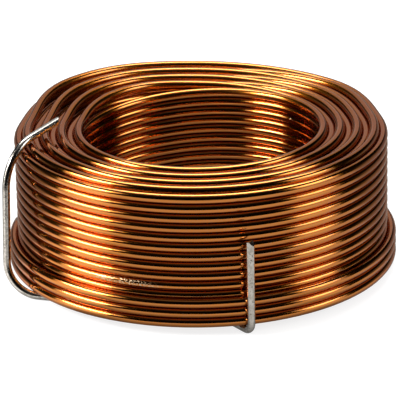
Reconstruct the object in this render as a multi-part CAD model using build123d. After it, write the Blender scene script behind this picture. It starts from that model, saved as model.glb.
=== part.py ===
"""Air core inductor: one enamelled copper wire wound in eight full layers and part of a ninth.

The coil lies on its flat side. Its axis is Z, and Z is 0 at the underside of its lowest turns.
A turn is a level circle round the front and the sides. It steps to the next row in a zone at
the back, where the turns of neighbouring layers cross and so stand further apart.
Two short pieces of stiff wire, bent round the coil's section, clip the turns together.
Sizes are in millimetres. Angles are in degrees clockwise from the back, seen from above.
"""

import os
from math import atan2, cos, pi, radians, sin, sqrt

from build123d import *

os.makedirs("parts", exist_ok=True)

# Coil wire: a 1.5 mm conductor over its enamel, and the gaps it is wound with
WIRE_DIAMETER = 1.58
TURN_GAP = 0.015
NEST_GAP = 0.016
CROSS_GAP = 0.15
RIDE_GAP = 0.25

# Winding
BORE_DIAMETER = 38.0
FULL_LAYERS = 8
ROWS = 14
LAST_LAYER_TURNS = 3

# The zone of steps, as angles either side of the back: its edge, where a step's slope is steady,
# and where the wire that crosses to the next layer stands upright on the one it rolls over
ZONE_ANGLE = 80.0
STEADY_ANGLE = 44.0
UPRIGHT_ANGLE = 28.0

# How far either side of a place on the wire its direction is measured, as an angle
HEADING_PROBE = 0.5

# Clips
CLIP_DIAMETER = 1.25
CLIP_GAP = 0.02
CUT_SLANT = 35.0
CUT_EDGE = 0.3
CUT_TOWARDS = (0.3, 0.5, 1.0)

# Front clip: a U from the outer face, under the coil and up its bore
FRONT_CLIP_ANGLE = 167.1
FRONT_CLIP_BORE_ANGLE = 186.5
FRONT_CLIP_DROP = 7.1

# Side clip: a C from the top face, over the rim at its widest bend, down the outer face and under the coil
SIDE_CLIP_ANGLES = (-92.7, -107.4, -110.0, -114.1, -129.8)
SIDE_CLIP_REACH = 7.85
SIDE_CLIP_TUCK = 3.8
SIDE_CLIP_RIM = 0.6
SIDE_CLIP_DIP = 0.15
SIDE_CLIP_SHOULDER = 2.87
SIDE_CLIP_LIFT = 0.8
SIDE_CLIP_BOW = 2.2
SIDE_CLIP_BENDS = (6.3, 8.9, 5.3)

pitch = WIRE_DIAMETER + TURN_GAP
nest_step = sqrt(WIRE_DIAMETER**2 - (pitch / 2) ** 2) + NEST_GAP
nest_lean = atan2(nest_step, pitch / 2)
cross_step = WIRE_DIAMETER + CROSS_GAP
first_radius = (BORE_DIAMETER + WIRE_DIAMETER) / 2
bottom_row = WIRE_DIAMETER / 2
top_row = bottom_row + pitch * (ROWS - 1)
clip_seat = (WIRE_DIAMETER + CLIP_DIAMETER) / 2 + CLIP_GAP
clip_under = bottom_row - clip_seat
clip_over = top_row + clip_seat


def place(angle, radius, height):
    """A point at an angle clockwise from the back, a radius from the axis and a height."""
    around = radians(angle)
    return Vector(radius * sin(around), radius * cos(around), height)


def level_station(angle, radius, height):
    """A place on the wire where it runs level round the axis, and its direction there."""
    around = radians(angle)
    return place(angle, radius, height), Vector(cos(around), -sin(around), 0)


def biarc(start, end):
    """Two arcs, tangent to each other, that join two stations of a place and a direction each."""
    (origin, heading), (target, arrival) = start, end
    chord = target - origin
    turn = 1 - heading.dot(arrival)
    along = chord.dot(heading + arrival)
    reach = (sqrt(along**2 + 2 * turn * chord.dot(chord)) - along) / (2 * turn)
    leaving, arriving = origin + heading * reach, target - arrival * reach
    join = (leaving + arriving) / 2
    return [
        Edge.make_tangent_arc(origin, heading, join),
        Edge.make_tangent_arc(join, arriving - leaving, target),
    ]


def joined(stations):
    """The arcs that join each station to the next."""
    return [arc for start, end in zip(stations, stations[1:]) for arc in biarc(start, end)]


def winding_way(layer):
    """1 where a layer climbs as it is wound, -1 where it descends. The first layer, 0, climbs."""
    return -1 if layer % 2 else 1


def layer_rows(layer):
    """Heights of a layer's turns, in winding order. Every other layer lies in the grooves, half a pitch up."""
    if winding_way(layer) < 0:
        return [bottom_row + pitch * (row + 0.5) for row in reversed(range(ROWS - 1))]
    turns = ROWS if layer < FULL_LAYERS else LAST_LAYER_TURNS
    return [bottom_row + pitch * row for row in range(turns)]


def layer_radius(layer):
    """Radius of a layer's centreline where its turns lie in the grooves of the layer below."""
    return first_radius + nest_step * layer


def crossing_radius(layer):
    """Radius of a layer's centreline at the back, where its turns ride over the ones they cross."""
    return first_radius + cross_step * layer


def steady_slope(layer):
    """Sine of the slope in the middle of a step, with which the whole step comes to one pitch."""
    steady = crossing_radius(layer) * sin(radians(STEADY_ANGLE))
    blended = layer_radius(layer) * radians(ZONE_ANGLE - STEADY_ANGLE) * cos(radians(STEADY_ANGLE)) / 2
    return pitch / 2 / (steady + blended)


def steady_station(layer, angle, middle, way):
    """A place and direction in the steady part of a step, whose middle is at the given height."""
    radius, slope = crossing_radius(layer), way * steady_slope(layer)
    level, around = sqrt(1 - slope**2), radians(angle)
    spot = Vector(radius * sin(around) * level, radius * cos(around), middle + radius * sin(around) * slope)
    return spot, Vector(cos(around) * level, -sin(around), cos(around) * slope)


def half_step(layer, middle, way, side):
    """One half of a step: side -1 comes to the middle of the back and side 1 goes on from there."""
    turn = level_station(side * ZONE_ANGLE, layer_radius(layer), middle + side * way * pitch / 2)
    steady = steady_station(layer, side * STEADY_ANGLE, middle, way)
    back = steady_station(layer, 0, middle, way)
    if side < 0:
        return biarc(turn, steady) + [Edge.make_tangent_arc(*steady, back[0])]
    return [Edge.make_tangent_arc(*back, steady[0])] + biarc(steady, turn)


def step_place(layer, angle, middle, way):
    """Radius and height of a step at an angle. Past the steady part both ease to the level turn's."""
    side = 1 if angle > 0 else -1
    past = max(0, abs(angle) - STEADY_ANGLE) / (ZONE_ANGLE - STEADY_ANGLE)
    ease = past**2 * (3 - 2 * past)
    steady = steady_station(layer, side * min(abs(angle), STEADY_ANGLE), middle, way)[0].Z
    level = middle + side * way * pitch / 2
    radius = crossing_radius(layer) + (layer_radius(layer) - crossing_radius(layer)) * ease
    return radius, steady + (level - steady) * ease


def rolling(layer, angle):
    """Where the wire lies on its way from a layer to the next, against the step that it rolls over.

    At the top that is the next layer's first step, and at the bottom its own layer's last. At the edge of
    the zone the wire leans on its side as a nested turn does, and further in it stands upright on it.
    """
    way = winding_way(layer)
    if way > 0:
        radius, height = step_place(layer + 1, angle, layer_rows(layer + 1)[0] - pitch / 2, -1)
    else:
        radius, height = step_place(layer, angle, layer_rows(layer)[-1] + pitch / 2, -1)
    lean = nest_lean * max(0, abs(angle) - UPRIGHT_ANGLE) / (ZONE_ANGLE - UPRIGHT_ANGLE)
    reach = way * (WIRE_DIAMETER + RIDE_GAP)
    return place(angle, radius - reach * sin(lean), height + reach * cos(lean))


def rolling_station(layer, angle):
    """A place and direction on the wire's way from a layer to the next."""
    heading = rolling(layer, angle + HEADING_PROBE) - rolling(layer, angle - HEADING_PROBE)
    return rolling(layer, angle), heading.normalized()


def crossing(layer):
    """The wire's way across the back, from a layer's last turn to the next layer's first turn."""
    way = winding_way(layer)
    last, first = layer_rows(layer)[-1], layer_rows(layer + 1)[0]
    angles = (UPRIGHT_ANGLE, STEADY_ANGLE, (STEADY_ANGLE + ZONE_ANGLE) / 2)
    rolls = [rolling_station(layer, -way * angle) for angle in angles]
    if way > 0:
        middle = first + pitch / 2
        leave = level_station(-ZONE_ANGLE, layer_radius(layer), last)
        stations = [leave, *reversed(rolls), steady_station(layer + 1, 0, middle, -way)]
        return joined(stations) + half_step(layer + 1, middle, -way, 1)
    middle = last - pitch / 2
    arrive = level_station(ZONE_ANGLE, layer_radius(layer + 1), first)
    return half_step(layer, middle, way, -1) + joined([steady_station(layer, 0, middle, way), *rolls, arrive])


def level_turn(layer, height):
    """The level arc of a turn, round the front from one edge of the zone of steps to the other."""
    radius = layer_radius(layer)
    spots = [place(angle, radius, height) for angle in (ZONE_ANGLE, 180, 360 - ZONE_ANGLE)]
    return Edge.make_three_point_arc(*spots)


def coil_route():
    """The centreline of the coil's wire, from its inner end to its outer end."""
    edges = []
    for layer in range(FULL_LAYERS + 1):
        way, rows = winding_way(layer), layer_rows(layer)
        for height in rows[:-1]:
            middle = height + way * pitch / 2
            edges.append(level_turn(layer, height))
            edges += half_step(layer, middle, way, -1) + half_step(layer, middle, way, 1)
        edges.append(level_turn(layer, rows[-1]))
        if layer < FULL_LAYERS:
            edges += crossing(layer)
    return Wire(edges)


def wire_along(route, diameter):
    """A round wire whose centre follows the route."""
    section = Plane(origin=route @ 0, z_dir=route % 0) * Circle(diameter / 2)
    return sweep(section, path=route)


def nipped(wire, route):
    """The wire with each end nipped off to a blunt edge, as side cutters leave it."""
    beyond = 3 * CLIP_DIAMETER
    waste = Box(beyond, beyond, beyond, align=(Align.CENTER, Align.CENTER, Align.MIN))
    for end, outward in ((route @ 0, -(route % 0)), (route @ 1, route % 1)):
        across = outward.cross(Vector(*CUT_TOWARDS)).normalized()
        for side in (-1, 1):
            slanted = outward * sin(radians(CUT_SLANT)) + across * side * cos(radians(CUT_SLANT))
            wire -= Plane(origin=end + across * side * CUT_EDGE / 2, z_dir=slanted) * waste
    return wire


def front_clip_route():
    """Up the outer face at the front, under the coil, and up the wall of the bore."""
    outer, inner = layer_radius(FULL_LAYERS) + clip_seat, layer_radius(0) - clip_seat
    end_height = top_row - FRONT_CLIP_DROP
    corners = [
        place(FRONT_CLIP_ANGLE, outer, end_height),
        place(FRONT_CLIP_ANGLE, outer, clip_under),
        place(FRONT_CLIP_BORE_ANGLE, inner, clip_under),
        place(FRONT_CLIP_BORE_ANGLE, inner, end_height),
    ]
    return FilletPolyline(*corners, radius=clip_seat)


def side_clip_route():
    """From the top face, over the rim with a wide bend, down the outer face, and under the coil."""
    outer = layer_radius(FULL_LAYERS)
    radii = (
        outer - SIDE_CLIP_REACH,
        layer_radius(FULL_LAYERS - 1) + SIDE_CLIP_RIM,
        outer + SIDE_CLIP_BOW,
        outer + SIDE_CLIP_BOW + clip_seat,
        outer - SIDE_CLIP_TUCK,
    )
    heights = (
        clip_over + SIDE_CLIP_LIFT,
        clip_over - SIDE_CLIP_DIP,
        top_row - SIDE_CLIP_SHOULDER,
        clip_under,
        clip_under,
    )
    corners = [place(*spot) for spot in zip(SIDE_CLIP_ANGLES, radii, heights)]
    return FilletPolyline(*corners, radius=SIDE_CLIP_BENDS)


def main():
    """Build each piece and write it to a STEP file of its own."""
    coil = coil_route()
    winding = wire_along(coil, WIRE_DIAMETER)
    pieces = {"winding": winding}
    for name, route in (("front_clip", front_clip_route()), ("side_clip", side_clip_route())):
        pieces[name] = nipped(wire_along(route, CLIP_DIAMETER), route)
    drawn = coil.length * pi * WIRE_DIAMETER**2 / 4
    print(f"wire {coil.length:.0f} mm long, {drawn:.1f} mm3 drawn, {winding.volume:.1f} mm3 modelled")
    for name, piece in pieces.items():
        piece.label = name
        export_step(piece, f"parts/{name}.step")


if __name__ == "__main__":
    main()
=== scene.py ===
"""Air core inductor: the finish of a coil of enamelled copper wire and of the two bent wires that clip it.

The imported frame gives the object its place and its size. The coil's wire is made again here as one fine
tube that follows the same turns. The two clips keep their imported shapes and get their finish.
Lengths are in metres. Angles round the coil are in degrees clockwise from its back, seen from above.
"""

from __future__ import annotations

import logging
import math
from dataclasses import dataclass
from enum import Enum

import bmesh
import bpy
import numpy as np
from mathutils import Matrix, Vector

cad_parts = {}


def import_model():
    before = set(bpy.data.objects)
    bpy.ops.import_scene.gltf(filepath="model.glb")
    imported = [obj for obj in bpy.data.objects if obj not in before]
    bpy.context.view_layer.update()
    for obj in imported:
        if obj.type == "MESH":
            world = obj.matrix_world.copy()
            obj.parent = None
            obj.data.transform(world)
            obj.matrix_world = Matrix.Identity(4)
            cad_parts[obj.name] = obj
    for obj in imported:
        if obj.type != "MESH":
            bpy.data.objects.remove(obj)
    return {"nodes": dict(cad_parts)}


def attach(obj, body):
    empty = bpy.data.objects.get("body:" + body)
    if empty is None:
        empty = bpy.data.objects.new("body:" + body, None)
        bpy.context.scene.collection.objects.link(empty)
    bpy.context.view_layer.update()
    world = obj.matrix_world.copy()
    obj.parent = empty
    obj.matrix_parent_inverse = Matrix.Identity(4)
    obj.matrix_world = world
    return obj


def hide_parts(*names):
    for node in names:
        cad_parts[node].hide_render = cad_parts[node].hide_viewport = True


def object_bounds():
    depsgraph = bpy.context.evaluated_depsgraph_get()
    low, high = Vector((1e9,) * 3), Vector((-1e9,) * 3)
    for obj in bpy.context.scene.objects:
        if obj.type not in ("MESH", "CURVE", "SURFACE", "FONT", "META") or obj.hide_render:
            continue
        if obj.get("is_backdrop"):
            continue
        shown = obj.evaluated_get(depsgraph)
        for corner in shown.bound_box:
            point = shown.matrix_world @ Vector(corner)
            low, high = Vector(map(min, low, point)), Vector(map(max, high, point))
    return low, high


LOG = logging.getLogger("air_core_inductor")
PICTURE_SIDE = 400
MARK_CORE = 0.5
Colour = tuple[float, float, float, float]


class Way(Enum):
    """Which way a layer's turns follow each other as it is wound."""

    CLIMB = 1
    DESCEND = -1

    def flipped(self) -> Way:
        """The other way."""
        return Way.DESCEND if self is Way.CLIMB else Way.CLIMB


class Nodes:
    """A material's node tree, with short calls that add a node and link what feeds it."""

    def __init__(self, name: str) -> None:
        """Starts an empty material.

        Args:
            name: The material's name.
        """
        self.material = bpy.data.materials.new(name)
        self.material.use_nodes = True
        self.tree = self.material.node_tree
        self.tree.nodes.clear()
        self.output = self.add("ShaderNodeOutputMaterial")

    def add(self, kind: str, **settings: object) -> bpy.types.Node:
        """Adds a node.

        Args:
            kind: The node's type.
            settings: Values for the node's own properties.

        Returns:
            The new node.
        """
        node = self.tree.nodes.new(kind)
        for name, value in settings.items():
            setattr(node, name, value)
        return node

    def link(self, source: bpy.types.NodeSocket, target: bpy.types.NodeSocket) -> None:
        """Feeds one socket from another."""
        self.tree.links.new(source, target)

    def math(self, operation: str, first: object, second: object = 0.0) -> bpy.types.NodeSocket:
        """Adds a Math node.

        Args:
            operation: The node's operation.
            first: A socket or a number for its first input.
            second: A socket or a number for its second input.

        Returns:
            The socket with the result.
        """
        node = self.add("ShaderNodeMath", operation=operation)
        for socket, value in zip(node.inputs, (first, second)):
            if isinstance(value, bpy.types.NodeSocket):
                self.link(value, socket)
            else:
                socket.default_value = value
        return node.outputs[0]

    def vector(self, x: object, y: object, z: object) -> bpy.types.NodeSocket:
        """Joins three sockets or numbers to a vector."""
        node = self.add("ShaderNodeCombineXYZ")
        for socket, value in zip(node.inputs, (x, y, z)):
            if isinstance(value, bpy.types.NodeSocket):
                self.link(value, socket)
            else:
                socket.default_value = value
        return node.outputs[0]

    def noise(self, where: bpy.types.NodeSocket, scale: float, detail: float = 2.0) -> bpy.types.NodeSocket:
        """Adds a noise pattern.

        Args:
            where: The vector that it reads.
            scale: How many grains it has to a unit.
            detail: How many finer grains lie over it.

        Returns:
            The socket with its strength, from 0 to 1.
        """
        node = self.add("ShaderNodeTexNoise")
        node.inputs["Scale"].default_value = scale
        node.inputs["Detail"].default_value = detail
        self.link(where, node.inputs["Vector"])
        return node.outputs["Fac"]

    def ramp(self, value: bpy.types.NodeSocket, *stops: tuple[float, Colour]) -> bpy.types.NodeSocket:
        """Adds a colour ramp.

        Args:
            value: The number that picks the colour.
            stops: Places from 0 to 1, each with its colour.

        Returns:
            The socket with the colour.
        """
        node = self.add("ShaderNodeValToRGB")
        elements = node.color_ramp.elements
        while len(elements) < len(stops):
            elements.new(0.5)
        for element, (position, colour) in zip(elements, stops):
            element.position, element.color = position, colour
        self.link(value, node.inputs["Fac"])
        return node.outputs["Color"]

    def span(self, value: bpy.types.NodeSocket, low: float, high: float, start: float = 0.0,
             end: float = 1.0) -> bpy.types.NodeSocket:
        """Maps a number from one span to another and holds it there.

        Args:
            value: The number.
            low: Where its span starts.
            high: Where its span ends.
            start: What low becomes.
            end: What high becomes.

        Returns:
            The socket with the mapped number.
        """
        node = self.add("ShaderNodeMapRange", clamp=True)
        for name, number in (("From Min", low), ("From Max", high), ("To Min", start), ("To Max", end)):
            node.inputs[name].default_value = number
        self.link(value, node.inputs["Value"])
        return node.outputs["Result"]

    def blend(self, share: bpy.types.NodeSocket, first: object, second: object) -> bpy.types.NodeSocket:
        """Mixes two colours.

        Args:
            share: How much of the second colour shows, from 0 to 1.
            first: A socket or a colour.
            second: A socket or a colour.

        Returns:
            The socket with the mixed colour.
        """
        node = self.add("ShaderNodeMix", data_type="RGBA")
        self.link(share, node.inputs[0])
        for socket, value in ((node.inputs[6], first), (node.inputs[7], second)):
            if isinstance(value, bpy.types.NodeSocket):
                self.link(value, socket)
            else:
                socket.default_value = value
        return node.outputs[2]

    def bump(self, height: bpy.types.NodeSocket, depth: float) -> bpy.types.NodeSocket:
        """Adds a bump.

        Args:
            height: The height, from 0 to 1.
            depth: How deep the full height is.

        Returns:
            The socket with the bent normal.
        """
        node = self.add("ShaderNodeBump")
        node.inputs["Distance"].default_value = depth
        self.link(height, node.inputs["Height"])
        return node.outputs["Normal"]

    def along(self, where: bpy.types.NodeSocket, towards: Vector) -> bpy.types.NodeSocket:
        """How nearly a place lies in a direction from the origin: 1 when it does, -1 when it is opposite.

        Args:
            where: The place.
            towards: The direction, with a length of 1.

        Returns:
            The socket with the cosine of the angle between them.
        """
        unit = self.add("ShaderNodeVectorMath", operation="NORMALIZE")
        self.link(where, unit.inputs[0])
        product = self.add("ShaderNodeVectorMath", operation="DOT_PRODUCT")
        self.link(unit.outputs["Vector"], product.inputs[0])
        product.inputs[1].default_value = towards
        return product.outputs["Value"]


@dataclass(frozen=True)
class Mark:
    """A rubbed or nicked place on the wire, with how far it reaches along x, y and z."""

    place: tuple[float, float, float]
    reach: tuple[float, float, float]

    def shade(self, nodes: Nodes, where: bpy.types.NodeSocket) -> bpy.types.NodeSocket:
        """How strong the mark is: 1 in its middle and 0 outside it.

        Args:
            nodes: The material's tree.
            where: The place on the piece.

        Returns:
            The socket with its strength.
        """
        offset = nodes.add("ShaderNodeVectorMath", operation="SUBTRACT")
        scaled = nodes.add("ShaderNodeVectorMath", operation="DIVIDE")
        span = nodes.add("ShaderNodeVectorMath", operation="LENGTH")
        nodes.link(where, offset.inputs[0])
        offset.inputs[1].default_value = self.place
        nodes.link(offset.outputs["Vector"], scaled.inputs[0])
        scaled.inputs[1].default_value = self.reach
        nodes.link(scaled.outputs["Vector"], span.inputs[0])
        return nodes.span(span.outputs["Value"], MARK_CORE, 1.0, 1.0, 0.0)


@dataclass(frozen=True)
class EnamelledCopper:
    """Bright copper under a clear amber enamel.

    A band is the part of a noise pattern, from 0 to 1, over which what it drives goes from none to full.
    """

    name: str = "enamelled_copper"
    deep: Colour = (0.47, 0.143, 0.012, 1.0)
    bright: Colour = (0.56, 0.182, 0.018, 1.0)
    scuffed: Colour = (0.50, 0.26, 0.12, 1.0)
    rubbed: Colour = (0.66, 0.46, 0.28, 1.0)
    edge: Colour = (0.72, 0.42, 0.10, 1.0)
    gloss: float = 0.11
    scuff_gloss: float = 0.42
    step_gloss: float = 0.22
    step_back: tuple[float, float] = (0.0, 0.014)
    step_top: tuple[float, float] = (0.0195, 0.0212)
    coat: float = 0.72
    coat_gloss: float = 0.06
    coat_index: float = 1.5
    hue_length: float = 0.045
    hue_scale: float = 0.9
    even_band: tuple[float, float] = (0.30, 0.70)
    line_length: float = 0.012
    line_count: float = 9.0
    line_depth: float = 0.000008
    line_shade: float = 0.80
    scuff_scale: float = 0.31
    scuff_band: tuple[float, float] = (0.68, 0.76)
    rub_grain: float = 0.00022
    rub_band: tuple[float, float] = (0.52, 0.60)
    marks: tuple[Mark, ...] = (
        Mark((-0.0140, -0.0286, 0.0066), (0.0092, 0.0050, 0.0007)),
        Mark((-0.0123, -0.0286, 0.0153), (0.0005, 0.0005, 0.0004)),
        Mark((-0.0091, -0.0297, 0.0156), (0.0004, 0.0004, 0.0003)),
        Mark((-0.0222, -0.0218, 0.0093), (0.0008, 0.0008, 0.0009)),
        Mark((-0.0242, -0.0195, 0.0226), (0.0009, 0.0009, 0.0006)),
        Mark((0.0117, -0.0288, 0.0225), (0.0007, 0.0008, 0.0004)),
        Mark((0.0098, -0.0293, 0.0223), (0.0005, 0.0006, 0.0004)),
        Mark((0.0091, -0.0297, 0.0202), (0.0007, 0.0006, 0.0003)),
        Mark((0.0178, -0.0255, 0.0202), (0.0006, 0.0006, 0.0004)),
        Mark((0.0151, 0.0115, 0.0202), (0.0003, 0.0003, 0.0003)),
        Mark((0.0148, 0.0120, 0.0186), (0.0003, 0.0003, 0.0003)),
    )

    def material(self) -> bpy.types.Material:
        """Makes the material. It reads the wire's length and the angle round it from the piece's UV map."""
        nodes = Nodes(self.name)
        shader = nodes.add("ShaderNodeBsdfPrincipled")
        uv = nodes.add("ShaderNodeUVMap", uv_map="wire").outputs["UV"]
        split = nodes.add("ShaderNodeSeparateXYZ")
        nodes.link(uv, split.inputs[0])
        around = nodes.math("MULTIPLY", split.outputs["Y"], math.tau)
        length = split.outputs["X"]
        across, up = nodes.math("COSINE", around), nodes.math("SINE", around)
        hue_place = nodes.vector(across, up, nodes.math("DIVIDE", length, self.hue_length))
        hue = nodes.noise(hue_place, self.hue_scale, 3.0)
        colour = nodes.ramp(hue, (self.even_band[0], self.deep), (self.even_band[1], self.bright))
        line_place = nodes.vector(
            nodes.math("MULTIPLY", across, self.line_count),
            nodes.math("MULTIPLY", up, self.line_count),
            nodes.math("DIVIDE", length, self.line_length),
        )
        lines = nodes.noise(line_place, 1.0, 2.0)
        shaded = nodes.span(lines, *self.even_band, self.line_shade, 1.0)
        colour = nodes.blend(shaded, (0.0, 0.0, 0.0, 1.0), colour)
        scuffs = nodes.span(nodes.noise(line_place, self.scuff_scale, 4.0), *self.scuff_band)
        rubs = self.rubs(nodes)
        dull = nodes.math("MAXIMUM", scuffs, rubs)
        worn = nodes.blend(scuffs, colour, self.scuffed)
        nodes.link(nodes.blend(rubs, worn, self.rubbed), shader.inputs["Base Color"])
        gloss = nodes.span(self.stepped(nodes), 0.0, 1.0, self.gloss, self.step_gloss)
        worn_gloss = nodes.span(dull, 0.0, 1.0, 0.0, self.scuff_gloss)
        nodes.link(nodes.math("MAXIMUM", gloss, worn_gloss), shader.inputs["Roughness"])
        nodes.link(nodes.bump(lines, self.line_depth), shader.inputs["Normal"])
        shader.inputs["Metallic"].default_value = 1.0
        shader.inputs["Specular Tint"].default_value = self.edge
        shader.inputs["Coat Weight"].default_value = self.coat
        shader.inputs["Coat Roughness"].default_value = self.coat_gloss
        shader.inputs["Coat IOR"].default_value = self.coat_index
        nodes.link(shader.outputs["BSDF"], nodes.output.inputs["Surface"])
        return nodes.material

    def stepped(self, nodes: Nodes) -> bpy.types.NodeSocket:
        """Where the wire steps over itself at the top of the back, which winding has dulled.

        Args:
            nodes: The material's tree.

        Returns:
            The socket with 1 there and 0 elsewhere.
        """
        split = nodes.add("ShaderNodeSeparateXYZ")
        nodes.link(nodes.add("ShaderNodeTexCoord").outputs["Object"], split.inputs[0])
        back = nodes.span(split.outputs["Y"], *self.step_back)
        top = nodes.span(split.outputs["Z"], *self.step_top)
        return nodes.math("MULTIPLY", back, top)

    def rubs(self, nodes: Nodes) -> bpy.types.NodeSocket:
        """Where the marks have rubbed the enamel, broken up into fine specks.

        Args:
            nodes: The material's tree.

        Returns:
            The socket with their strength, from 0 to 1.
        """
        place = nodes.add("ShaderNodeTexCoord").outputs["Object"]
        found = self.marks[0].shade(nodes, place)
        for mark in self.marks[1:]:
            found = nodes.math("MAXIMUM", found, mark.shade(nodes, place))
        specks = nodes.span(nodes.noise(place, 1.0 / self.rub_grain, 1.0), *self.rub_band)
        return nodes.math("MULTIPLY", found, specks)


@dataclass(frozen=True)
class ClipSteel:
    """Dull tinned steel wire, with fine pits."""

    name: str = "clip_wire"
    clean: Colour = (0.50, 0.465, 0.42, 1.0)
    dull: Colour = (0.37, 0.34, 0.295, 1.0)
    pit: Colour = (0.15, 0.13, 0.11, 1.0)
    grain: float = 0.0006
    colour_band: tuple[float, float] = (0.35, 0.62)
    gloss_band: tuple[float, float] = (0.3, 0.7)
    gloss: tuple[float, float] = (0.22, 0.12)
    pit_size: float = 0.00022
    pit_band: tuple[float, float] = (0.60, 0.70)
    pit_depth: float = 0.000008

    def material(self) -> bpy.types.Material:
        """Makes the material. It reads Object coordinates."""
        nodes = Nodes(self.name)
        shader = nodes.add("ShaderNodeBsdfPrincipled")
        place = nodes.add("ShaderNodeTexCoord").outputs["Object"]
        mottle = nodes.noise(place, 1.0 / self.grain, 3.0)
        pits = nodes.span(nodes.noise(place, 1.0 / self.pit_size, 2.0), *self.pit_band)
        colour = nodes.ramp(mottle, (self.colour_band[0], self.dull), (self.colour_band[1], self.clean))
        nodes.link(nodes.blend(pits, colour, self.pit), shader.inputs["Base Color"])
        nodes.link(nodes.span(mottle, *self.gloss_band, *self.gloss), shader.inputs["Roughness"])
        height = nodes.math("SUBTRACT", mottle, pits)
        nodes.link(nodes.bump(height, self.pit_depth), shader.inputs["Normal"])
        shader.inputs["Metallic"].default_value = 1.0
        nodes.link(shader.outputs["BSDF"], nodes.output.inputs["Surface"])
        return nodes.material


@dataclass(frozen=True)
class Station:
    """A place on the wire, and how fast the wire moves outwards and upwards there, for each radian."""

    angle: float
    radius: float
    height: float
    spread: float = 0.0
    climb: float = 0.0
    shown: bool = True


@dataclass
class Winding:
    """The coil: one wire in eight full layers and part of a ninth, made as one tube."""

    finish: EnamelledCopper
    node: str = "winding"
    wire: float = 0.00158
    turn_gap: float = 0.000015
    nest_gap: float = 0.000016
    cross_gap: float = 0.00015
    ride_gap: float = 0.00025
    bore: float = 0.038
    full_layers: int = 8
    rows: int = 14
    last_turns: int = 3
    zone: float = 80.0
    steady: float = 44.0
    upright: float = 28.0
    probe: float = 0.5
    shown_step: float = 3.75
    hidden_step: float = 9.0
    half_sides: int = 7

    @property
    def pitch(self) -> float:
        """From one turn to the next, up the coil."""
        return self.wire + self.turn_gap

    @property
    def first_radius(self) -> float:
        """Radius of the first layer's centreline."""
        return (self.bore + self.wire) / 2

    @property
    def nest(self) -> float:
        """From one layer to the next, outwards, where the turns lie in each other's grooves."""
        return math.sqrt(self.wire**2 - (self.pitch / 2) ** 2) + self.nest_gap

    @property
    def middle_height(self) -> float:
        """Height of the coil's middle over the underside of its lowest turns."""
        return (self.wire + self.pitch * (self.rows - 1)) / 2

    def way(self, layer: int) -> Way:
        """Which way a layer is wound. The first one, 0, climbs."""
        return Way.DESCEND if layer % 2 else Way.CLIMB

    def heights(self, layer: int) -> list[float]:
        """Heights of a layer's turns, in winding order. Every other layer lies half a pitch up.

        Args:
            layer: The layer's number, from 0.

        Returns:
            The height of each turn's centreline.
        """
        lowest = self.wire / 2
        if self.way(layer) is Way.DESCEND:
            return [lowest + self.pitch * (row + 0.5) for row in reversed(range(self.rows - 1))]
        turns = self.rows if layer < self.full_layers else self.last_turns
        return [lowest + self.pitch * row for row in range(turns)]

    def layer_radius(self, layer: int) -> float:
        """Radius of a layer whose turns lie in the grooves of the layer below."""
        return self.first_radius + self.nest * layer

    def crossing_radius(self, layer: int) -> float:
        """Radius of a layer at the back, where its turns ride over the ones they cross."""
        return self.first_radius + (self.wire + self.cross_gap) * layer

    def slope(self, layer: int) -> float:
        """How steeply a step climbs in its middle, so that the whole of it comes to one pitch."""
        steady = self.crossing_radius(layer) * math.sin(math.radians(self.steady))
        eased = math.radians(self.zone - self.steady) * math.cos(math.radians(self.steady)) / 2
        return self.pitch / 2 / (steady + self.layer_radius(layer) * eased)

    def steady_station(self, layer: int, angle: float, middle: float, way: Way, shown: bool = True) -> Station:
        """A station in the steady part of a step.

        Args:
            layer: The layer that the step is in.
            angle: Where it is, from the middle of the back.
            middle: The step's height at the middle of the back.
            way: Which way the step goes.
            shown: Whether the turn can be seen.

        Returns:
            The station.
        """
        rise = self.crossing_radius(layer) * self.slope(layer) * way.value
        around = math.radians(angle)
        height, climb = middle + rise * math.sin(around), rise * math.cos(around)
        return Station(angle, self.crossing_radius(layer), height, 0.0, climb, shown)

    def step_place(self, layer: int, angle: float, middle: float, way: Way) -> tuple[float, float]:
        """Radius and height of a step at an angle, in its steady part or past it.

        Args:
            layer: The layer that the step is in.
            angle: Where it is, from the middle of the back.
            middle: The step's height at the middle of the back.
            way: Which way the step goes.

        Returns:
            The radius and the height.
        """
        side = 1 if angle > 0 else -1
        past = max(0.0, abs(angle) - self.steady) / (self.zone - self.steady)
        ease = past**2 * (3 - 2 * past)
        steady = self.steady_station(layer, side * min(abs(angle), self.steady), middle, way)
        level = middle + side * way.value * self.pitch / 2
        radius = steady.radius + (self.layer_radius(layer) - steady.radius) * ease
        return radius, steady.height + (level - steady.height) * ease

    def rolling_place(self, layer: int, angle: float) -> tuple[float, float]:
        """Where the wire lies on its way to the next layer, over the last step of the layer that descends.

        Args:
            layer: The layer that it leaves.
            angle: Where it is, from the middle of the back.

        Returns:
            Its radius and its height.
        """
        way = self.way(layer)
        if way is Way.CLIMB:
            middle = self.heights(layer + 1)[0] - self.pitch / 2
            radius, height = self.step_place(layer + 1, angle, middle, Way.DESCEND)
        else:
            middle = self.heights(layer)[-1] + self.pitch / 2
            radius, height = self.step_place(layer, angle, middle, Way.DESCEND)
        share = max(0.0, abs(angle) - self.upright) / (self.zone - self.upright)
        lean = math.atan2(self.nest, self.pitch / 2) * share
        reach = way.value * (self.wire + self.ride_gap)
        return radius - reach * math.sin(lean), height + reach * math.cos(lean)

    def rolling_station(self, layer: int, angle: float) -> Station:
        """The station where the wire lies on its way to the next layer, with its heading."""
        radius, height = self.rolling_place(layer, angle)
        after, before = self.rolling_place(layer, angle + self.probe), self.rolling_place(layer, angle - self.probe)
        span = 2 * math.radians(self.probe)
        return Station(angle, radius, height, (after[0] - before[0]) / span, (after[1] - before[1]) / span)

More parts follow.
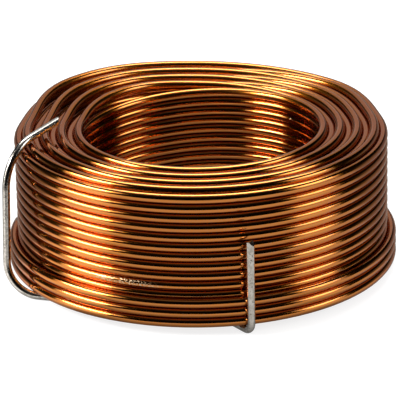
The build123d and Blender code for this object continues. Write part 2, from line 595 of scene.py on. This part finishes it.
    def crossing(self, layer: int) -> list[Station]:
        """The stations across the back, from a layer's last turn to the next layer's first turn."""
        way = self.way(layer)
        rolls = (self.upright, self.steady, (self.steady + self.zone) / 2)
        if way is Way.CLIMB:
            middle = self.heights(layer + 1)[0] + self.pitch / 2
            steps = [self.steady_station(layer + 1, angle, middle, way.flipped()) for angle in (0.0, self.steady)]
            return [self.rolling_station(layer, -angle) for angle in reversed(rolls)] + steps
        middle = self.heights(layer)[-1] - self.pitch / 2
        steps = [self.steady_station(layer, angle, middle, way) for angle in (-self.steady, 0.0)]
        return steps + [self.rolling_station(layer, angle) for angle in rolls]

    def shown(self, layer: int, turn: int) -> bool:
        """Whether a turn can be seen: on the bore's wall, the outer face, the top or the bottom."""
        turns = len(self.heights(layer))
        return layer in (0, self.full_layers - 1, self.full_layers) or turn in (0, turns - 1)

    def stations(self) -> list[Station]:
        """Every station from the wire's inner end to its outer end, with angles that count on."""
        found: list[Station] = []
        done = 0.0
        for layer in range(self.full_layers + 1):
            heights, way, radius = self.heights(layer), self.way(layer), self.layer_radius(layer)
            for turn, height in enumerate(heights):
                shown = self.shown(layer, turn)
                found += [
                    Station(done + angle, radius, height, shown=shown) for angle in (self.zone, 360.0 - self.zone)
                ]
                done += 360.0
                back: list[Station] = []
                if turn + 1 < len(heights):
                    middle = height + way.value * self.pitch / 2
                    shown = shown or self.shown(layer, turn + 1)
                    back = [
                        self.steady_station(layer, angle, middle, way, shown)
                        for angle in (-self.steady, 0.0, self.steady)
                    ]
                elif layer < self.full_layers:
                    back = self.crossing(layer)
                found += [Station(done + s.angle, s.radius, s.height, s.spread, s.climb, s.shown) for s in back]
        return found

    def between(self, start: Station, end: Station) -> np.ndarray:
        """Places on the wire from one station up to the next, without the next one's own.

        Args:
            start: The first station.
            end: The next station.

        Returns:
            Rows of x, y and z.
        """
        step = self.shown_step if start.shown or end.shown else self.hidden_step
        count = max(1, round((end.angle - start.angle) / step))
        span = math.radians(end.angle - start.angle)
        t = np.arange(count) / count
        eased, leaving, arriving = t * t * (3 - 2 * t), t * (1 - t) ** 2 * span, t * t * (t - 1) * span
        radius = start.radius + (end.radius - start.radius) * eased + start.spread * leaving + end.spread * arriving
        height = start.height + (end.height - start.height) * eased + start.climb * leaving + end.climb * arriving
        around = math.radians(start.angle) + t * span
        return np.stack([radius * np.sin(around), radius * np.cos(around), height], axis=1)

    def route(self) -> np.ndarray:
        """The wire's whole centreline, as rows of x, y and z."""
        stations = self.stations()
        runs = [self.between(start, end) for start, end in zip(stations, stations[1:])]
        last, around = stations[-1], math.radians(stations[-1].angle)
        runs.append(np.array([[last.radius * math.sin(around), last.radius * math.cos(around), last.height]]))
        return np.concatenate(runs)

    def build(self) -> bpy.types.Object:
        """Makes the wire as a curve with a round section, and turns it into a mesh.

        Returns:
            The finished piece.
        """
        route = self.route()
        curve = bpy.data.curves.new("coil_wire", "CURVE")
        curve.dimensions = "3D"
        curve.twist_mode = "Z_UP"
        curve.bevel_depth = self.wire / 2
        curve.bevel_resolution = self.half_sides - 2
        curve.use_fill_caps = True
        spline = curve.splines.new("POLY")
        spline.points.add(len(route) - 1)
        spline.points.foreach_set("co", np.c_[route, np.ones(len(route))].astype(np.float32).ravel())
        piece = bpy.data.objects.new("coil_wire", curve)
        bpy.context.scene.collection.objects.link(piece)
        select_only(piece)
        bpy.ops.object.convert(target="MESH")
        piece = bpy.context.view_layer.objects.active
        self.map_wire(piece.data, route)
        weld(piece)
        bpy.ops.object.shade_smooth()
        piece.data.materials.clear()
        piece.data.materials.append(self.finish.material())
        return piece

    def map_wire(self, mesh: bpy.types.Mesh, route: np.ndarray) -> None:
        """Gives the tube a UV map: its length in metres along the wire, and 0 to 1 round it.

        Args:
            mesh: The tube as the curve made it: the outer and the inner end's caps, then ring after ring.
            route: The centreline, with one row for each ring.
        """
        sides = 2 * self.half_sides
        along = np.r_[0.0, np.cumsum(np.linalg.norm(np.diff(route, axis=0), axis=1))]
        corners = np.zeros(len(mesh.loops), np.int64)
        mesh.loops.foreach_get("vertex_index", corners)
        rings = np.r_[len(route) - 1, 0, np.arange(len(route))]
        ring = rings[corners // sides]
        side = (corners % sides).astype(float)
        starts = np.zeros(len(mesh.polygons), np.int64)
        totals = np.zeros(len(mesh.polygons), np.int64)
        mesh.polygons.foreach_get("loop_start", starts)
        mesh.polygons.foreach_get("loop_total", totals)
        owner = np.repeat(np.arange(len(starts)), totals)
        furthest = np.zeros(len(starts))
        np.maximum.at(furthest, owner, side)
        side[(side == 0) & (furthest[owner] == sides - 1)] = sides
        for old in list(mesh.uv_layers):
            mesh.uv_layers.remove(old)
        layer = mesh.uv_layers.new(name="wire")
        layer.data.foreach_set("uv", np.stack([along[ring], side / sides], axis=1).astype(np.float32).ravel())


@dataclass
class WireClip:
    """A bent wire that clips the turns together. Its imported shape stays."""

    node: str
    finish: bpy.types.Material

    def dress(self, nodes: dict[str, bpy.types.Object]) -> bpy.types.Object:
        """Gives the clip its finish.

        Args:
            nodes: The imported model's pieces by name.

        Returns:
            The clip.
        """
        piece = nodes[self.node]
        piece.data.materials.clear()
        piece.data.materials.append(self.finish)
        return piece


@dataclass(frozen=True)
class Softbox:
    """A lamp behind a round cloth. Its direction is seen from the coil, and 0 is towards the camera."""

    name: str
    azimuth: float
    elevation: float
    wide: float
    high: float
    distance: float
    radiance: float
    bounces: int = 1

    def place(self, target: Vector) -> bpy.types.Object:
        """Hangs the lamp so that it faces the coil.

        Args:
            target: The coil's middle.

        Returns:
            The lamp.
        """
        lamp = bpy.data.lights.new(self.name, "AREA")
        lamp.shape = "ELLIPSE"
        lamp.size = 2 * self.distance * math.tan(math.radians(self.wide / 2))
        lamp.size_y = 2 * self.distance * math.tan(math.radians(self.high / 2))
        lamp.energy = self.radiance * math.pi * lamp.size * lamp.size_y
        lamp.cycles.max_bounces = self.bounces
        piece = bpy.data.objects.new(self.name, lamp)
        bpy.context.scene.collection.objects.link(piece)
        side, up = math.radians(self.azimuth), math.radians(self.elevation)
        towards = Vector((math.sin(side) * math.cos(up), -math.cos(side) * math.cos(up), math.sin(up)))
        piece.location = target + towards * self.distance
        piece.rotation_euler = (-towards).to_track_quat("-Z", "Y").to_euler()
        piece.visible_camera = False
        return piece


@dataclass(frozen=True)
class PhotoCamera:
    """The camera of the photograph."""

    distance: float = 0.4812
    elevation: float = 21.07
    roll: float = -1.17
    focal: float = 2951.0
    centre: tuple[float, float] = (201.94, 188.31)

    def place(self, target: Vector) -> bpy.types.Object:
        """Sets the camera up, so that the coil's middle lands on its pixel.

        Args:
            target: The coil's middle.

        Returns:
            The camera.
        """
        data = bpy.data.cameras.new("camera")
        data.sensor_width = 36.0
        data.lens = self.focal * data.sensor_width / PICTURE_SIDE
        data.shift_x = 0.5 - self.centre[0] / PICTURE_SIDE
        data.shift_y = self.centre[1] / PICTURE_SIDE - 0.5
        data.clip_start, data.clip_end = 0.01, 100.0
        camera = bpy.data.objects.new("camera", data)
        bpy.context.scene.collection.objects.link(camera)
        up = math.radians(self.elevation)
        towards = Vector((0.0, -math.cos(up), math.sin(up)))
        camera.location = target + towards * self.distance
        aim = (-towards).to_track_quat("-Z", "Y").to_matrix()
        camera.rotation_euler = (aim @ Matrix.Rotation(math.radians(self.roll), 3, "Z")).to_euler()
        bpy.context.scene.camera = camera
        return camera


@dataclass
class Studio:
    """The white table, the dark room over it, and its lamps.

    A reach from the coil's axis is in metres. A band is a span of cosines of the angle from a direction.
    """

    table_side: float = 0.36
    table_colour: Colour = (0.80, 0.80, 0.80, 1.0)
    table_kept: Colour = (0.30, 0.30, 0.30, 1.0)
    table_glow: float = 0.80
    table_front: float = 1.0
    table_back: float = 0.38
    table_fade: tuple[float, float] = (-0.045, 0.01)
    left_streak: float = 1.0
    right_streak: float = 0.25
    streak_azimuth: float = 66.0
    streak_band: tuple[float, float] = (0.90, 0.975)
    shadow_outside: tuple[float, float] = (0.031, 0.038)
    shadow_inside: tuple[float, float] = (0.015, 0.0195)
    shadow_depth: float = 0.3
    room_radius: float = 1.6
    room_glow: float = 0.004
    wall_glow: float = 0.26
    wall_band: tuple[float, float] = (0.15, 0.5)
    wall_top: tuple[float, float] = (0.05, 0.30)
    ceiling_glow: float = 0.25
    ceiling_band: tuple[float, float] = (0.84, 0.97)
    world_light: float = 0.6
    lamps: tuple[Softbox, ...] = (
        Softbox("left_softbox", -79.0, 33.0, 32.0, 13.0, 0.7, 20.0),
        Softbox("left_halo", -77.0, 32.0, 42.0, 36.0, 0.72, 1.4),
        Softbox("left_spill", -75.0, 10.0, 38.0, 26.0, 0.74, 1.6),
        Softbox("right_softbox", 75.0, 30.0, 26.0, 18.0, 0.7, 3.6),
        Softbox("right_halo", 75.0, 30.0, 34.0, 36.0, 0.72, 0.7),
        Softbox("right_spill", 72.0, 8.0, 34.0, 24.0, 0.74, 0.8),
        Softbox("top_softbox", 180.0, 66.0, 54.0, 24.0, 0.7, 5.5),
        Softbox("top_halo", 180.0, 64.0, 56.0, 46.0, 0.72, 0.6),
        Softbox("back_halo", 180.0, 32.0, 48.0, 50.0, 0.74, 0.42),
    )

    def set_up(self, target: Vector, ground: float) -> None:
        """Builds the studio round the object.

        Args:
            target: The coil's middle.
            ground: The height that the object stands on.
        """
        self.lay_table(ground)
        self.hang_room(target)
        self.light_world()
        for lamp in self.lamps:
            lamp.place(target)
            LOG.info("lamp %s", lamp.name)

    def lay_table(self, ground: float) -> None:
        """Lays the table's top, which shows white and keeps the object's shadow."""
        bpy.ops.mesh.primitive_plane_add(size=self.table_side, location=(0.0, 0.0, ground))
        table = bpy.context.view_layer.objects.active
        table.name = "table_top"
        nodes = Nodes("white_table")
        plain, kept = nodes.add("ShaderNodeBsdfDiffuse"), nodes.add("ShaderNodeBsdfDiffuse")
        plain.inputs["Color"].default_value = self.table_colour
        kept.inputs["Color"].default_value = self.table_kept
        glow, mirrored = nodes.add("ShaderNodeEmission"), nodes.add("ShaderNodeEmission")
        glow.inputs["Strength"].default_value = self.table_glow
        nodes.link(self.table_shade(nodes), mirrored.inputs["Strength"])
        path = nodes.add("ShaderNodeLightPath")
        both = nodes.add("ShaderNodeAddShader")
        nodes.link(kept.outputs[0], both.inputs[0])
        nodes.link(glow.outputs[0], both.inputs[1])
        gloss = nodes.math("MAXIMUM", path.outputs["Is Glossy Ray"], path.outputs["Is Transmission Ray"])
        other, chosen = nodes.add("ShaderNodeMixShader"), nodes.add("ShaderNodeMixShader")
        nodes.link(gloss, other.inputs[0])
        nodes.link(plain.outputs[0], other.inputs[1])
        nodes.link(mirrored.outputs[0], other.inputs[2])
        nodes.link(path.outputs["Is Camera Ray"], chosen.inputs[0])
        nodes.link(other.outputs[0], chosen.inputs[1])
        nodes.link(both.outputs[0], chosen.inputs[2])
        nodes.link(chosen.outputs[0], nodes.output.inputs["Surface"])
        table.data.materials.append(nodes.material)
        table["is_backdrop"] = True

    def table_shade(self, nodes: Nodes) -> bpy.types.NodeSocket:
        """How bright the table is in the wires' gloss: dimmer at the back and in the coil's own shadow.

        A streak of light lies on it towards each side lamp.

        Args:
            nodes: The table's tree.

        Returns:
            The socket with its brightness.
        """
        place = nodes.add("ShaderNodeTexCoord").outputs["Object"]
        split = nodes.add("ShaderNodeSeparateXYZ")
        nodes.link(place, split.inputs[0])
        shade = nodes.span(split.outputs["Y"], *self.table_fade, self.table_front, self.table_back)
        side, front = math.sin(math.radians(self.streak_azimuth)), math.cos(math.radians(self.streak_azimuth))
        for way, strength in ((-1.0, self.left_streak), (1.0, self.right_streak)):
            near = nodes.along(place, Vector((way * side, -front, 0.0)))
            shade = nodes.math("ADD", shade, nodes.span(near, *self.streak_band, 0.0, strength))
        reach = nodes.add("ShaderNodeVectorMath", operation="LENGTH")
        nodes.link(place, reach.inputs[0])
        outside = nodes.span(reach.outputs["Value"], *self.shadow_outside, self.shadow_depth, 1.0)
        inside = nodes.span(reach.outputs["Value"], *self.shadow_inside, 1.0, self.shadow_depth)
        return nodes.math("MULTIPLY", shade, nodes.math("MAXIMUM", outside, inside))

    def hang_room(self, target: Vector) -> None:
        """Hangs the dark room round the table, which the wires mirror, with paler walls at the back."""
        bpy.ops.mesh.primitive_uv_sphere_add(segments=48, ring_count=24, radius=self.room_radius, location=target)
        room = bpy.context.view_layer.objects.active
        room.name = "dark_room"
        nodes = Nodes("dark_room")
        place = nodes.add("ShaderNodeTexCoord").outputs["Object"]
        backwards = nodes.along(place, Vector((0.0, 1.0, 0.0)))
        upwards = nodes.along(place, Vector((0.0, 0.0, 1.0)))
        wall = nodes.span(backwards, *self.wall_band, 0.0, self.wall_glow)
        low = nodes.span(upwards, *self.wall_top, 1.0, 0.0)
        ceiling = nodes.span(upwards, *self.ceiling_band, self.room_glow, self.ceiling_glow)
        glow = nodes.add("ShaderNodeEmission")
        strength = nodes.math("ADD", nodes.math("MULTIPLY", wall, low), ceiling)
        nodes.link(strength, glow.inputs["Strength"])
        nodes.link(glow.outputs[0], nodes.output.inputs["Surface"])
        room.data.materials.append(nodes.material)
        room.visible_camera = False
        room.visible_shadow = False
        room.visible_diffuse = False
        room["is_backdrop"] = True

    def light_world(self) -> None:
        """Makes the world white where it is seen, and a plain light elsewhere."""
        world = bpy.data.worlds.new("world")
        world.use_nodes = True
        tree = world.node_tree
        background = tree.nodes["Background"]
        background.inputs["Color"].default_value = (1.0, 1.0, 1.0, 1.0)
        path = tree.nodes.new("ShaderNodeLightPath")
        seen = path.outputs["Is Camera Ray"]
        for name in ("Is Glossy Ray", "Is Transmission Ray"):
            either = tree.nodes.new("ShaderNodeMath")
            either.operation = "MAXIMUM"
            tree.links.new(seen, either.inputs[0])
            tree.links.new(path.outputs[name], either.inputs[1])
            seen = either.outputs[0]
        strength = tree.nodes.new("ShaderNodeMapRange")
        strength.inputs["To Min"].default_value = self.world_light
        tree.links.new(seen, strength.inputs["Value"])
        tree.links.new(strength.outputs["Result"], background.inputs["Strength"])
        bpy.context.scene.world = world


def select_only(piece: bpy.types.Object) -> None:
    """Makes a piece the one selected and active object."""
    bpy.ops.object.select_all(action="DESELECT")
    piece.select_set(True)
    bpy.context.view_layer.objects.active = piece


def weld(piece: bpy.types.Object, reach: float = 1e-7) -> None:
    """Merges a piece's doubles and turns its faces outwards.

    Args:
        piece: The piece.
        reach: How near two points are one.
    """
    form = bmesh.new()
    form.from_mesh(piece.data)
    bmesh.ops.remove_doubles(form, verts=form.verts, dist=reach)
    bmesh.ops.recalc_face_normals(form, faces=form.faces)
    form.to_mesh(piece.data)
    form.free()


def corners(box: tuple[Vector, Vector]) -> list[list[float]]:
    """A box's two corners as plain lists of numbers."""
    return [[float(value) for value in corner] for corner in box]


def main() -> None:
    """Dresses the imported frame: the winding, the clips, and the studio and camera round them."""
    logging.basicConfig(level=logging.INFO, format="%(name)s: %(message)s")
    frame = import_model()
    cad_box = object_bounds()
    bpy.ops.object.select_all(action="DESELECT")
    winding = Winding(EnamelledCopper())
    target = Vector((0.0, 0.0, winding.middle_height))

    PhotoCamera().place(target)
    coil = winding.build()
    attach(coil, "root")
    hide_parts(winding.node)
    LOG.info("winding %d faces", len(coil.data.polygons))

    finish = ClipSteel().material()
    for node in ("front_clip", "side_clip"):
        clip = WireClip(node, finish).dress(frame["nodes"])
        LOG.info("%s %d faces", clip.name, len(clip.data.polygons))

    Studio().set_up(target, cad_box[0].z)
    bpy.context.scene.view_settings.view_transform = "Standard"


if __name__ == "__main__":
    main()
